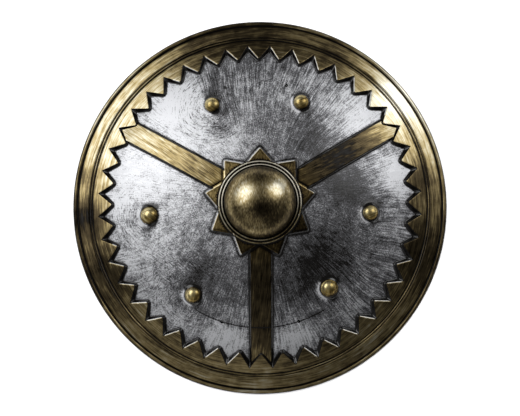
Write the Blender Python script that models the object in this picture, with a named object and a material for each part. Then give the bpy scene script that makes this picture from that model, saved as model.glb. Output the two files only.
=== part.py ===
"""Round costume shield, moulded in one piece from thin plastic sheet.

The shield lies face up on the foot of its rim. The origin is the centre of that
foot, +Z points out of the painted face and +Y is the side worn uppermost. Each
raised form is made twice by one function: once at its outer surface, and once
one wall deeper, to hollow the shell from behind.
"""
import math

import bmesh
import bpy
from mathutils import Vector

# Shell, in metres
SHIELD_RADIUS = 0.295
WALL = 0.002
RELIEF_SLOPE = math.radians(51)  # how steeply the sides of the relief rise

# Domed field, part of a sphere that springs from the notches of the toothed band
DOME_RADIUS = 0.54
FIELD_EDGE_HEIGHT = 0.0077

# Rim section, outside to inside: distance in from the edge, and height
RIM_SKIRT = (0.0008, 0.0088)
RIM_LIP = (0.0048, 0.0108)
RIM_GROOVE = (0.0077, 0.0084)
BAND_OUTER = (0.0097, 0.0104)
BAND_INNER = (0.0264, 0.0143)
INNER_BEAD = (0.0293, 0.0141)
INNER_BEAD_GROOVES = ((0.0276, 0.0131), (0.0318, 0.0128))
FLANGE_OUTER = (0.0340, 0.0146)
FIELD_TUCK = 0.0365  # how far in from the edge the field ends, under the flange

# Toothed band round the field; the teeth were set out by hand and stray along the ring
TOOTH_COUNT = 44
NOTCH_FROM_EDGE = 0.040
TOOTH_LENGTH = 0.0227
NOTCH_RISE = 0.009
POINT_RISE = 0.0052
STRAY = math.radians(0.44)
STRAY_RIGHT = math.radians(0.52)     # more of it at the right, less at the left
STRAY_DIAGONAL = math.radians(0.20)  # more of it at the upper right and lower left

# Three spokes: bearing, and how far the middle line passes beside the centre
SPOKES = ((31.8, -0.0030), (150.2, 0.0004), (270.3, 0.0010))
SPOKE_TOP_WIDTH = 0.031
SPOKE_RISE = 0.003

# Nine-pointed star plate and the boss on it
STAR_POINTS = 9
STAR_TIP_RADIUS = 0.0840
STAR_VALLEY_RADIUS = 0.0627
STAR_RISE = 0.0036
BOSS_RADIUS = 0.0555
BOSS_HEIGHT = 0.043
BOSS_RINGS = ((0.0027, 0.0026), (0.0074, 0.0024))  # distance out from the boss, and height
BOSS_RING_GROOVE = 0.0008
BOSS_RING_HALF_WIDTH = 0.0023

# Six studs, set by hand on the original: distance from the centre, and bearing
STUD_PLACES = ((0.1715, 67.9), (0.1717, 115.7), (0.1724, 186.0),
               (0.1749, 233.9), (0.1689, 309.3), (0.1720, 355.3))
STUD_RADIUS = 0.012
STUD_HEIGHT = 0.0135
STUD_NECK_RISE = 0.004
STUD_FLARE_RADIUS = 0.0175

# Four small strap holes on one circle
STRAP_HOLE_CIRCLE = 0.1915
STRAP_HOLE_BEARINGS = (77.4, 106.4, 252.1, 288.4)
STRAP_HOLE_RADIUS = 0.00275

# Facets
FIELD_SIDES = 72
FIELD_HOLLOW_SIDES = 60
FIELD_LOOPS = 6
BOSS_SIDES = 54
BOSS_HOLLOW_SIDES = 36
BOSS_LOOPS = 6
STUD_SIDES = 18
STUD_HOLLOW_SIDES = 12
HOLE_SIDES = 12
SPOKE_STATIONS = 6

# Cutting and joining
SINK = 0.0015    # how far a raised form reaches below the surface that it stands on
CUT_MARGIN = 0.01  # how far a hollow reaches below the foot of the rim

NOTCH_RADIUS = SHIELD_RADIUS - NOTCH_FROM_EDGE
POINT_RADIUS = NOTCH_RADIUS - TOOTH_LENGTH
MITRE = math.tan(RELIEF_SLOPE / 2)    # sideways step of a relief edge for each unit of wall
SIDE_RUN = 1 / math.tan(RELIEF_SLOPE)  # sideways run of a relief side for each unit of rise


def clear_scene():
    for old in list(bpy.data.objects):
        bpy.data.objects.remove(old)


def paint(name, colour, roughness, metallic):
    """A Principled material; colour is linear red, green and blue."""
    material = bpy.data.materials.new(name)
    material.use_nodes = True
    shader = material.node_tree.nodes["Principled BSDF"]
    shader.inputs["Base Color"].default_value = (*colour, 1.0)
    shader.inputs["Roughness"].default_value = roughness
    shader.inputs["Metallic"].default_value = metallic
    return material


def field_height(radius, depth=0.0):
    """Height of the domed field, or of the surface lying depth below it."""
    spring = FIELD_EDGE_HEIGHT - math.sqrt(DOME_RADIUS ** 2 - NOTCH_RADIUS ** 2)
    return spring + math.sqrt((DOME_RADIUS - depth) ** 2 - radius ** 2)


def bearings(count, first=0.0):
    return [math.radians(first + 360 * index / count) for index in range(count)]


def strayed(bearing):
    return (bearing + STRAY + STRAY_RIGHT * math.cos(bearing)
            + STRAY_DIAGONAL * math.sin(2 * bearing))


def polar(radius, bearing, height):
    return Vector((radius * math.cos(bearing), radius * math.sin(bearing), height))


def circle_loop(around, radius, height):
    return [polar(radius, bearing, height) for bearing in around]


def grown_star(points, tip, valley, grow):
    """Tip and valley radius of a star whose straight edges have moved out by grow."""
    half_pitch = math.pi / points
    tip_half_angle = math.atan2(valley * math.sin(half_pitch), tip - valley * math.cos(half_pitch))
    valley_half_angle = tip_half_angle + half_pitch
    return tip + grow / math.sin(tip_half_angle), valley + grow / math.sin(valley_half_angle)


def star_radius(bearing, points, tip_bearing, tip, valley):
    """Distance from the centre to the straight edge of a star, along a bearing."""
    half_pitch = math.pi / points
    turned = (bearing - tip_bearing) % (2 * half_pitch)
    off_tip = min(turned, 2 * half_pitch - turned)
    crossing = tip * valley * math.sin(half_pitch)
    return crossing / (tip * math.sin(off_tip) + valley * math.sin(half_pitch - off_tip))


def skin(name, loops, material, closed_section=False):
    """A solid skinned over a row of loops; a loop of one point closes to a pole."""
    bm = bmesh.new()
    rings = [[bm.verts.new(point) for point in loop] for loop in loops]
    pairs = list(zip(rings, rings[1:]))
    if closed_section:
        pairs.append((rings[-1], rings[0]))
    for lower, upper in pairs:
        count = max(len(lower), len(upper))
        for index in range(count):
            following = (index + 1) % count
            if len(upper) == 1:
                bm.faces.new((lower[index], lower[following], upper[0]))
            else:
                bm.faces.new((lower[index], lower[following], upper[following], upper[index]))
    if not closed_section:
        for end in (rings[0], rings[-1]):
            if len(end) > 1:
                bm.faces.new(end)
    bmesh.ops.recalc_face_normals(bm, faces=bm.faces)
    mesh = bpy.data.meshes.new(name)
    bm.to_mesh(mesh)
    bm.free()
    mesh.materials.append(material)
    solid = bpy.data.objects.new(name, mesh)
    bpy.context.scene.collection.objects.link(solid)
    return solid


def floor_height(depth):
    """Underside of a form: the foot of the rim, or below it where the form is a hollow."""
    return -CUT_MARGIN if depth else 0.0


def field_form(name, depth, material):
    outer = SHIELD_RADIUS - FIELD_TUCK
    around = bearings(FIELD_HOLLOW_SIDES if depth else FIELD_SIDES)
    loops = [circle_loop(around, outer, floor_height(depth))]
    for step in range(FIELD_LOOPS):
        radius = outer * (1 - step / FIELD_LOOPS)
        loops.append(circle_loop(around, radius, field_height(radius, depth)))
    loops.append([Vector((0, 0, field_height(0, depth)))])
    return skin(name, loops, material)


def band_form(name, depth, material):
    """The rim and the toothed flange inside it, as one closed ring."""
    around = [strayed(bearing) for bearing in bearings(2 * TOOTH_COUNT, first=270)]
    shift = depth * MITRE
    floor = floor_height(depth)

    def rim_loop(place, drop=depth):
        from_edge, height = place
        return circle_loop(around, SHIELD_RADIUS - from_edge, height - drop)

    def toothed_loop(notch_side, point_side, notch_height, point_height):
        """A loop whose notches and points lie down their sides by the given runs."""
        notch = grown_star(TOOTH_COUNT, NOTCH_RADIUS, POINT_RADIUS, shift - notch_side)[0]
        point = grown_star(TOOTH_COUNT, NOTCH_RADIUS, POINT_RADIUS, shift - point_side)[1]
        places = ((point, point_height), (notch, notch_height))
        return [polar(places[index % 2][0], bearing, places[index % 2][1])
                for index, bearing in enumerate(around)]

    notch_foot = field_height(NOTCH_RADIUS, depth)
    point_foot = field_height(POINT_RADIUS, depth)
    notch_side = (NOTCH_RISE + SINK) * SIDE_RUN
    point_side = (POINT_RISE + SINK) * SIDE_RUN
    loops = [rim_loop((depth, floor), 0.0)]
    if depth:
        loops += [rim_loop((depth, RIM_GROOVE[1])), rim_loop(BAND_OUTER)]
    else:
        loops += [rim_loop(place) for place in (RIM_SKIRT, RIM_LIP, RIM_GROOVE, BAND_OUTER)]
    loops.append(rim_loop(BAND_INNER))
    if not depth:
        loops += [rim_loop(INNER_BEAD_GROOVES[0]), rim_loop(INNER_BEAD)]
    loops += [
        rim_loop(INNER_BEAD_GROOVES[1]),
        rim_loop(FLANGE_OUTER),
        toothed_loop(0, 0, notch_foot + NOTCH_RISE, point_foot + POINT_RISE),
        toothed_loop(notch_side, point_side, notch_foot - SINK, point_foot - SINK),
        toothed_loop(notch_side, point_side, floor, floor),
    ]
    return skin(name, loops, material, closed_section=True)


def spoke_form(name, line, depth, material):
    bearing_degrees, beside = line
    bearing = math.radians(bearing_degrees)
    along = Vector((math.cos(bearing), math.sin(bearing), 0))
    across = Vector((-math.sin(bearing), math.cos(bearing), 0))
    half_top = SPOKE_TOP_WIDTH / 2 - depth * MITRE
    half_low = half_top + (SPOKE_RISE + SINK) * SIDE_RUN
    inner = BOSS_RADIUS / 2
    outer = SHIELD_RADIUS - FIELD_TUCK
    loops = []
    for step in range(SPOKE_STATIONS + 1):
        reach = inner + (outer - inner) * step / SPOKE_STATIONS
        surface = field_height(reach, depth)
        section = ((-half_low, floor_height(depth)), (-half_low, surface - SINK),
                   (-half_top, surface + SPOKE_RISE), (half_top, surface + SPOKE_RISE),
                   (half_low, surface - SINK), (half_low, floor_height(depth)))
        loops.append([along * reach + across * (beside + offset) + Vector((0, 0, height))
                      for offset, height in section])
    return skin(name, loops, material)


def boss_form(name, depth, material):
    """The star plate, the double ring on it and the domed boss."""
    around = bearings(BOSS_HOLLOW_SIDES if depth else BOSS_SIDES, first=90)

    def star_loop(grow, rise, height=None):
        tip, valley = grown_star(STAR_POINTS, STAR_TIP_RADIUS, STAR_VALLEY_RADIUS, grow)
        radii = [star_radius(bearing, STAR_POINTS, math.pi / 2, tip, valley) for bearing in around]
        return [polar(radius, bearing,
                      field_height(radius, depth) + rise if height is None else height)
                for radius, bearing in zip(radii, around)]

    shift = -depth * MITRE
    low = shift + (STAR_RISE + SINK) * SIDE_RUN
    plate = field_height(BOSS_RADIUS, depth) + STAR_RISE
    loops = [star_loop(low, 0.0, floor_height(depth)), star_loop(low, -SINK)]
    if depth:
        loops.append(star_loop(shift, STAR_RISE))
    else:
        outer_ring, outer_crest = BOSS_RINGS[1]
        foot = BOSS_RADIUS + outer_ring + BOSS_RING_HALF_WIDTH
        loops.append([point if point.xy.length > foot else polar(foot, bearing, plate)
                      for point, bearing in zip(star_loop(shift, STAR_RISE), around)])
        for distance, crest in reversed(BOSS_RINGS):
            ridge = BOSS_RADIUS + distance
            loops.append(circle_loop(around, ridge, plate + crest))
            loops.append(circle_loop(around, ridge - BOSS_RING_HALF_WIDTH, plate + BOSS_RING_GROOVE))
    for step in range(1 if not depth else 0, BOSS_LOOPS):
        turn = 0.5 * math.pi * step / BOSS_LOOPS
        loops.append(circle_loop(around, (BOSS_RADIUS - depth) * math.cos(turn),
                                 plate + BOSS_HEIGHT * math.sin(turn)))
    loops.append([Vector((0, 0, plate + BOSS_HEIGHT))])
    return skin(name, loops, material)


def stud_form(name, place, depth, material):
    """A round-headed stud that stands straight up on a flared foot."""
    distance, bearing_degrees = place
    centre = polar(distance, math.radians(bearing_degrees), 0)
    middle = field_height(distance, depth)
    around = bearings(STUD_HOLLOW_SIDES if depth else STUD_SIDES)

    def stud_loop(radius, rise, lean):
        """Lean 1 follows the slope of the field, and 0 is level."""
        loop = []
        for offset in circle_loop(around, radius, 0):
            point = centre + offset
            local = field_height(point.length, depth)
            point.z = middle + lean * (local - middle) + rise
            loop.append(point)
        return loop

    head = STUD_RADIUS - depth
    flare_run = (STUD_FLARE_RADIUS - STUD_RADIUS) / STUD_NECK_RISE
    foot = STUD_FLARE_RADIUS - depth * MITRE + SINK * flare_run
    base = [Vector((point.x, point.y, floor_height(depth))) for point in stud_loop(foot, 0, 0)]
    loops = [base, stud_loop(foot, -SINK, 1.0), stud_loop(head, STUD_NECK_RISE, 0.5)]
    cap_rise = STUD_HEIGHT - STUD_NECK_RISE
    for turn_degrees in (35, 65):
        turn = math.radians(turn_degrees)
        loops.append(stud_loop(head * math.cos(turn), STUD_NECK_RISE + cap_rise * math.sin(turn),
                               0.5 * math.cos(turn) ** 2))
    loops.append([Vector((centre.x, centre.y, middle + STUD_HEIGHT))])
    return skin(name, loops, material)


def strap_hole(name, bearing_degrees, material):
    centre = polar(STRAP_HOLE_CIRCLE, math.radians(bearing_degrees), 0)
    around = bearings(HOLE_SIDES)
    top = field_height(STRAP_HOLE_CIRCLE) + CUT_MARGIN
    loops = [[centre + offset for offset in circle_loop(around, STRAP_HOLE_RADIUS, height)]
             for height in (-CUT_MARGIN, top)]
    return skin(name, loops, material)


def cutters_in(collection_name, forms):
    """Put forms that only join or cut the shell in a collection of their own."""
    collection = bpy.data.collections.new(collection_name)
    bpy.context.scene.collection.children.link(collection)
    for form in forms:
        bpy.context.scene.collection.objects.unlink(form)
        collection.objects.link(form)
        form.hide_render = True
        form.display_type = "WIRE"
    return collection


def add_boolean(target, name, operation, collection):
    modifier = target.modifiers.new(name, "BOOLEAN")
    modifier.operation = operation
    modifier.solver = "EXACT"
    modifier.operand_type = "COLLECTION"
    modifier.collection = collection
    modifier.material_mode = "TRANSFER"


def raised_forms(side, depth, material):
    """Everything that stands on the field, at the given depth below the outer surface."""
    forms = [band_form(f"{side}_band", depth, material), boss_form(f"{side}_boss", depth, material)]
    forms += [spoke_form(f"{side}_spoke_{number}", line, depth, material)
              for number, line in enumerate(SPOKES, start=1)]
    forms += [stud_form(f"{side}_stud_{number}", place, depth, material)
              for number, place in enumerate(STUD_PLACES, start=1)]
    return forms


def build_shield():
    silver = paint("silver_dry_brushed_plastic", (0.32, 0.33, 0.35), 0.42, 0.6)
    gold = paint("antique_gold_dry_brushed_plastic", (0.20, 0.14, 0.05), 0.4, 0.7)
    plastic = paint("bare_black_plastic", (0.012, 0.011, 0.010), 0.5, 0.0)

    shell = field_form("shield_shell", 0.0, silver)
    for extra in (gold, plastic):
        shell.data.materials.append(extra)
    outside = cutters_in("outside_forms", raised_forms("outside", 0.0, gold))
    hollow = cutters_in("hollow_forms",
                        [field_form("hollow_field", WALL, plastic)]
                        + raised_forms("hollow", WALL, plastic))
    holes = cutters_in("strap_holes", [strap_hole(f"strap_hole_{number}", bearing, plastic)
                                       for number, bearing in enumerate(STRAP_HOLE_BEARINGS, 1)])
    add_boolean(shell, "raise relief", "UNION", outside)
    add_boolean(shell, "hollow the back", "DIFFERENCE", hollow)
    add_boolean(shell, "drill strap holes", "DIFFERENCE", holes)


clear_scene()
build_shield()
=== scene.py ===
"""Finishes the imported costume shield: its fine moulded shell, its paint, and a plain stage.

The shell is one sheet of moulded plastic. Its painted side is drawn in from the rim loop
by loop, cut along the spokes, lifted to its height and given its studs. The bare side is
made the same way, one wall deeper and with fewer faces, and the two are joined at the foot
of the rim and through the strap holes.
"""
import math
from types import SimpleNamespace

import bmesh
import bpy
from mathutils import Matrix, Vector


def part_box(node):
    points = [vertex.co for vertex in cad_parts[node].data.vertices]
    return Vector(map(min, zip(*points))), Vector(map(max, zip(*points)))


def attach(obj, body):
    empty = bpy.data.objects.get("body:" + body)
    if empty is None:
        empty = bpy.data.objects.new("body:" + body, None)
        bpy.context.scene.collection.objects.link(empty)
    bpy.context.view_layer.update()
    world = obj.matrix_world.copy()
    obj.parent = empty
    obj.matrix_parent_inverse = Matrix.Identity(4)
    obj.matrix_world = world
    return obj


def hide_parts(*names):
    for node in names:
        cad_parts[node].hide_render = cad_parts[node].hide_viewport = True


bl_info = {
    "name": "Costume shield finish",
    "version": (1, 0, 0),
    "blender": (4, 5, 0),
    "location": "View3D > Sidebar > Shield",
    "description": "Moulds and paints the fine shell of a round costume shield",
    "category": "Object",
}

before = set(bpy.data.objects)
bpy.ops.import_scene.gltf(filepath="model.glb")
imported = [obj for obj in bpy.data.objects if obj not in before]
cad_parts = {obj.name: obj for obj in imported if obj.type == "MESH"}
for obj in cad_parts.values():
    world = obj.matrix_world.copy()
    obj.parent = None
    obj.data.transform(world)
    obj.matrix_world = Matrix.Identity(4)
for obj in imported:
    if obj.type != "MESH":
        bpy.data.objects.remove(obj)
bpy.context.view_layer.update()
SHELL_NODE = "shield_shell"
SHELL_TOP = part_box(SHELL_NODE)[1]
MM = 0.001

# Domed field, part of a sphere that springs from the notches of the toothed band
DOME_RADIUS = 540 * MM
FIELD_EDGE_HEIGHT = 7.7 * MM
RELIEF_SLOPE = math.tan(math.radians(51))
WALL = 2 * MM

# Rim of the painted and of the bare side, from the foot in: millimetres in from the edge, and up
RIM_SECTION = ((0.0, 0.0), (0.1, 4.0), (0.5, 7.8), (1.3, 9.2), (2.4, 10.1), (3.6, 10.7), (4.9, 10.9),
               (6.0, 10.2), (6.9, 8.9), (7.6, 8.4), (8.3, 8.9), (9.0, 9.8), (9.9, 10.4), (12.0, 11.0),
               (15.0, 11.7), (18.0, 12.4), (21.0, 13.1), (24.0, 13.8), (26.4, 14.3), (27.1, 13.9),
               (27.7, 13.3), (28.3, 13.7), (29.2, 14.1), (30.1, 13.9), (30.8, 13.2), (31.4, 12.9),
               (32.0, 13.5), (32.6, 14.1), (33.9, 14.55))
RIM_HOLLOW_SECTION = ((2.0, 0.0), (2.0, 6.8), (4.6, 8.6), (7.6, 6.5), (9.7, 8.4), (26.4, 12.3),
                      (31.8, 10.8), (33.5, 12.4))
# Outer border of the toothed band: distance in from the edge, and height
FLANGE_OUTER = (34.0 * MM, 14.6 * MM)
# Where the brush missed the rim: distance in from the edge, half width and share missed
RIM_DARK_LINES = ((0.0, 1.3, 1.0), (7.6, 0.9, 0.9), (27.7, 0.6, 0.6), (31.4, 0.7, 0.8))

# Toothed band
TOOTH_COUNT = 44
NOTCH_FROM_EDGE = 40 * MM
TOOTH_LENGTH = 23.4 * MM
TOOTH_ROUNDING = 1.8 * MM
POINT_HEIGHT = 24.4 * MM
# The teeth and their feet end within this distance of the notches
BAND_WIDTH = 55 * MM
STRAY, STRAY_RIGHT, STRAY_DIAGONAL = (math.radians(angle) for angle in (0.44, 0.52, 0.20))

# Spokes: bearing, and how far the middle line passes beside the centre
SPOKES = ((31.8, -3.0 * MM), (150.2, 0.4 * MM), (270.3, 1.0 * MM))
SPOKE_TOP_WIDTH = 31 * MM
SPOKE_RISE = 3 * MM

# Star plate, double ring and boss
STAR_POINTS = 9
STAR_TIP_RADIUS = 84.4 * MM
STAR_VALLEY_RADIUS = 62.7 * MM
STAR_ROUNDING = 1.2 * MM
STAR_RISE = 3.6 * MM
# All of the star plate lies within this distance of the centre
STAR_WITHIN = 120 * MM
# Sides of its points that face this way get painted highlights, and the others painted shade
STAR_HIGHLIGHT_SIDE = math.radians(140)
BOSS_RADIUS = 55.5 * MM
BOSS_RINGS = ((2.7 * MM, 2.6 * MM), (7.4 * MM, 2.4 * MM))
BOSS_RING_HALF_WIDTH = 2.3 * MM
BOSS_RING_GROOVE = 0.8 * MM
# All within this distance of the centre is gold
RINGS_GOLD = 65.3 * MM

# Studs: distance from the centre, and bearing
STUD_PLACES = ((171.5, 67.9), (171.7, 115.7), (172.4, 186.0), (174.9, 233.9), (168.9, 309.3),
               (172.0, 355.3))
# Section of a stud from its foot up: radius and rise in millimetres, and the rise of its neck
STUD_SECTION = ((17.6, 0.0), (16.4, 0.5), (15.0, 1.4), (13.6, 2.6), (12.5, 3.3), (11.9, 3.5),
                (11.6, 3.9), (11.8, 4.5), (11.7, 5.5), (11.1, 7.4), (9.9, 9.3), (8.1, 11.1),
                (5.7, 12.5), (2.9, 13.3))
STUD_NECK_RISE = 3.5
STUD_TOP = 13.5 * MM
STUD_CLEAR_RADIUS = 22.5 * MM
# How far out the gold was painted on each, in millimetres
STUD_GOLD = (12.0, 12.0, 13.4, 12.5, 13.4, 12.0)
STUD_COVER = 0.64
# Painted light and shade: this much lighter on the upper left, toward the lamp, darker opposite
STUD_PAINTED_LIGHT = 0.16
# Bearings of the two sides of their feet that face the lamps. Then the dark ring, the dim foot and
# the bright crescents: distance past the gold, and half width. The crescents are painted
# highlights; the dim foot and the ring's darker far side are painted shade
STUD_HIGHLIGHT_SIDES = (math.radians(205), math.radians(-5))
STUD_FOOT_LINES = ((1.0 * MM, 1.7 * MM), (2.8 * MM, 2.2 * MM), (3.4 * MM, 1.9 * MM))
# Brush strokes turn round a stud in these shares, mostly on its lower left, and fade out between
# these distances
STUD_SWIRLS = (0.2, 1.0, 0.6, 0.5, 0.2, 0.3)
STUD_SWIRL_FADE = (50 * MM, 78 * MM)
STUD_SWIRL_SIDE = math.radians(215)

# Strap holes and the crease that runs through the lower two
STRAP_HOLE_CIRCLE = 191.5 * MM
STRAP_HOLE_BEARINGS = (77.4, 106.4, 252.1, 288.4)
STRAP_HOLE_RADIUS = 2.75 * MM
STRAP_HOLE_ROUNDING = 0.25 * MM
STRAP_HOLE_RIM = 0.6 * MM
STRAP_HOLE_CLEAR_RADIUS = 9.5 * MM
CREASE_SPAN = (237.0, 303.0)
CREASE_DEPTH = 0.45 * MM
CREASE_HALF_WIDTH = 0.7 * MM

# Stretches of the band, from bearing to bearing, where one side of each tooth has a painted glint
# of the lamps along its top edge: 1 for the side anticlockwise of the point, -1 for the other
TOOTH_GLINT_SIDES = ((36, 125, 1), (195, 266, -1), (286, 345, 1))

TOP_EDGE_BLEND = 0.9 * MM
STAR_EDGE_BLEND = 2.2 * MM
FOOT_BLEND = 1.5 * MM

# Facets round the rim and round a strap hole, the same on both sides, which join there
RIM_SIDES = 264
HOLE_SIDES = 24
# Loops that follow the teeth end in a circle this far in from the notches, and the round loops
# start this much further in
ROUND_FROM_NOTCH = 41 * MM
ROUND_GAP = 2 * MM
# The corners of these loops crowd towards each tooth's point by this power
TOOTH_CROWDING = 1.35
# How finely the rest of each side is divided. The offsets are how far the loops lie outside the
# outlines of the teeth, the star and the spokes, in millimetres
PAINTED_MESH = SimpleNamespace(
    rim_section=RIM_SECTION, tooth_steps=9, field_sides=360, field_step=7 * MM, ring_steps=5,
    boss_steps=20, stud_section=STUD_SECTION, stud_sides=40,
    tooth_offsets=(0, 0.35, 0.9, 1.6, 2.4, 3.2, 4.0, 4.8, 5.6, 6.6, 8.5),
    star_offsets=(9, 6, 4.6, 3.8, 3.1, 2.4, 1.6, 0.8, 0.3, 0, -0.4, -1.0, -2.0, -4.0, -6.5, -9.5,
                  -13),
    spoke_offsets=(-0.9, -0.3, 0.3, 1.3, 2.2, 3.0, 4.0))
BARE_MESH = SimpleNamespace(
    rim_section=RIM_HOLLOW_SECTION, tooth_steps=3, field_sides=240, field_step=8 * MM,
    ring_steps=2, boss_steps=8, stud_section=STUD_SECTION[::3], stud_sides=20,
    tooth_offsets=(0, 2.0, 4.0, 5.5), star_offsets=(5, 3, 1.5, 0, -1), spoke_offsets=(0, 2.4))

# How thickly the paints cover the black plastic, and patches that make them lighter or darker:
# partly uneven paint and partly painted light and shade, lighter where the lamps fall and darker
# away from them. Bearing, distance from the centre and size in millimetres, and change
SILVER_COVER = 0.50
SILVER_PATCHES_AND_LIGHT = (
    (165, 190, 75, 0.42), (130, 208, 42, 0.55), (120, 110, 30, 0.28), (110, 192, 22, -0.20),
    (110, 216, 10, -0.30), (113, 191, 11, -0.30), (110, 155, 12, -0.35), (117, 129, 14, -0.32),
    (121, 200, 12, 0.20), (137, 150, 26, 0.15), (150, 118, 22, 0.15), (40, 212, 42, 0.42),
    (12, 222, 30, 0.50), (357, 180, 24, -0.25), (10, 140, 38, -0.44), (15, 120, 30, -0.16),
    (50, 120, 34, -0.42), (63, 160, 22, -0.20), (92, 218, 30, -0.15), (320, 130, 60, -0.58),
    (290, 140, 45, -0.30), (335, 205, 28, -0.12), (232, 140, 38, -0.30), (228, 146, 12, -0.25),
    (244, 172, 20, -0.18), (229, 192, 28, -0.22), (206, 160, 30, 0.15), (203, 222, 30, 0.28),
    (226, 224, 32, 0.30), (256, 150, 24, -0.15), (256, 220, 32, 0.40), (284, 220, 32, 0.38),
    (313, 226, 22, 0.06), (184, 190, 16, -0.20), (193, 178, 7, -0.60), (85, 112, 25, -0.12),
    (262, 112, 22, -0.22), (182, 145, 25, -0.08), (180, 228, 26, 0.15))
# Where short scrubs cross each other instead
SCRUBBED_PATCHES = ((0, 0, 95, 0.9), (215, 160, 75, 0.9), (350, 150, 40, 0.6))
# How far the gold runs past its outline on a stud, and past all other outlines
STUD_GOLD_PAST = 0.08 * MM
GOLD_PAST = 0.2 * MM
# How much more golden than the band the studs are, and the star between two distances
STUD_WARMTH = 0.9
STAR_WARMTH = 0.5
STAR_WARM_SPAN = (66 * MM, 100 * MM)
# Gold strokes against those on the band: how much finer and shorter they are on the boss and the
# star, how much shorter on a spoke, and how much they slant there
BOSS_FINER, BOSS_SHORTER = 1.6, 7.0
SPOKE_SHORTER, SPOKE_SLANT = 1.6, 0.12
GOLD_COVER = 0.60
# Gold patches alike; those on the boss at 152 and 36 degrees are painted highlights of the lamps
GOLD_PATCHES_AND_LIGHT = (
    (0, 0, 80, -0.28), (0, 0, 46, 0.24), (152, 27, 15, 0.28), (36, 37, 14, 0.38), (282, 15, 17, -0.38),
    (87, 46, 16, -0.16), (270, 40, 18, 0.12), (30, 145, 62, -0.64), (270, 165, 100, -0.42),
    (150, 135, 45, -0.12), (150, 262, 75, 0.05), (95, 265, 90, -0.32), (205, 262, 65, -0.34),
    (170, 281, 20, -0.25), (184, 281, 32, -0.60), (200, 279, 24, -0.10), (345, 262, 80, -0.36),
    (10, 256, 26, -0.35), (308, 280, 30, 0.15), (310, 265, 70, -0.15), (235, 260, 50, -0.12),
    (270, 262, 35, 0.10), (38, 277, 42, 0.34), (50, 262, 20, -0.15), (62, 258, 28, -0.16),
    (66, 277, 36, -0.14), (115, 277, 34, -0.14), (320, 80, 35, -0.25))

# Order of the materials on the shell
GOLD, SILVER, BARE = range(3)

# Stage in metres: half width of the floor, and how far off the lights and the camera stand
FLOOR_REACH = 4.0
LIGHT_DISTANCE = 2.0
CAMERA_DISTANCE = 2.2
# The camera's lens in millimetres, its bearing and height in degrees, and what it is aimed at
CAMERA_LENS = 96.25
CAMERA_ANGLES = (-90, 85.25)
CAMERA_AIM = (0, -2.8 * MM, 0)


def colour(text):
    """Linear red, green, blue and alpha of an sRGB hex colour."""
    channels = [int(text[place:place + 2], 16) / 255 for place in (1, 3, 5)]
    linear = [c / 12.92 if c <= 0.04045 else ((c + 0.055) / 1.055) ** 2.4 for c in channels]
    return (*linear, 1.0)


def smooth_max(first, second, blend):
    overlap = max(blend - abs(first - second), 0.0) / blend
    return max(first, second) + overlap * overlap * blend / 4


def smooth_min(first, second, blend):
    return -smooth_max(-first, -second, blend)


def smooth_step(low, high, value):
    part = min(max((value - low) / (high - low), 0.0), 1.0)
    return part * part * (3 - 2 * part)


class Zigzag:
    """A closed outline of straight-sided points, rounded at their tips.

    The tips point out when tip is larger than valley, and in when it is smaller. Distances
    are positive on the side that the tips point to.
    """

    def __init__(self, points, first_bearing, tip, valley, rounding):
        self.half_pitch = math.pi / points
        self.first_bearing = first_bearing
        self.tip = tip
        self.outward = 1 if tip > valley else -1
        self.rounding = rounding
        run = Vector((valley * math.cos(self.half_pitch) - tip, valley * math.sin(self.half_pitch)))
        self.along = run.normalized()
        self.away = Vector((self.along.y, -self.along.x)) * self.outward
        self.arc_centre = tip - self.outward * rounding / self.along.y

    def off_tip(self, bearing):
        """Angle from the nearest tip, from 0 to half the pitch."""
        turned = (bearing - self.first_bearing) % (2 * self.half_pitch)
        return min(turned, 2 * self.half_pitch - turned)

    def distance(self, radius, bearing):
        angle = self.off_tip(bearing)
        point = Vector((radius * math.cos(angle), radius * math.sin(angle)))
        from_arc = point - Vector((self.arc_centre, 0))
        if from_arc.dot(self.along) < 0:
            return from_arc.length - self.rounding
        return (point - Vector((self.tip, 0))).dot(self.away)

    def facing(self, bearing):
        """Bearing that the side at a bearing faces."""
        turned = (bearing - self.first_bearing) % (2 * self.half_pitch)
        lean = math.atan2(self.away.y, self.away.x)
        past = turned < self.half_pitch
        tip = bearing - turned + (0 if past else 2 * self.half_pitch)
        return tip + (lean if past else -lean)

    def radius(self, bearing, distance):
        """Where a ray from the centre meets the outline moved out by distance."""
        angle = self.off_tip(bearing)
        ray = Vector((math.cos(angle), math.sin(angle)))
        straight = (distance + self.tip * self.away.x) / self.away.dot(ray)
        if (ray * straight - Vector((self.arc_centre, 0))).dot(self.along) >= 0:
            return straight
        reach = (self.rounding + distance) ** 2 - (self.arc_centre * ray.y) ** 2
        return self.arc_centre * ray.x + self.outward * math.sqrt(max(reach, 0.0))


def stray(bearing):
    """How far the hand-set teeth stray along the ring."""
    return STRAY + STRAY_RIGHT * math.cos(bearing) + STRAY_DIAGONAL * math.sin(2 * bearing)


def unstrayed(bearing):
    even = bearing
    for _ in range(3):
        even = bearing - stray(even)
    return even


def soft_line(off, half_width):
    """Strength of a line, from 0 to 1, at a distance from its middle."""
    return math.exp(-(off / half_width) ** 2)


def laid_out(patches):
    """Patches with their middles as flat places, and their sizes in metres."""
    return [(polar(distance * MM, bearing).xy, size * MM, change)
            for bearing, distance, size, change in patches]


def spread(patches, flat):
    """Sum at a place of the changes that patches bring, each fading with distance."""
    return sum(change * math.exp(-(flat - middle).length_squared / size ** 2)
               for middle, size, change in patches)


def from_centre(flat):
    """Distance from the centre, and bearing."""
    return flat.length, math.atan2(flat.y, flat.x)


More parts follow.
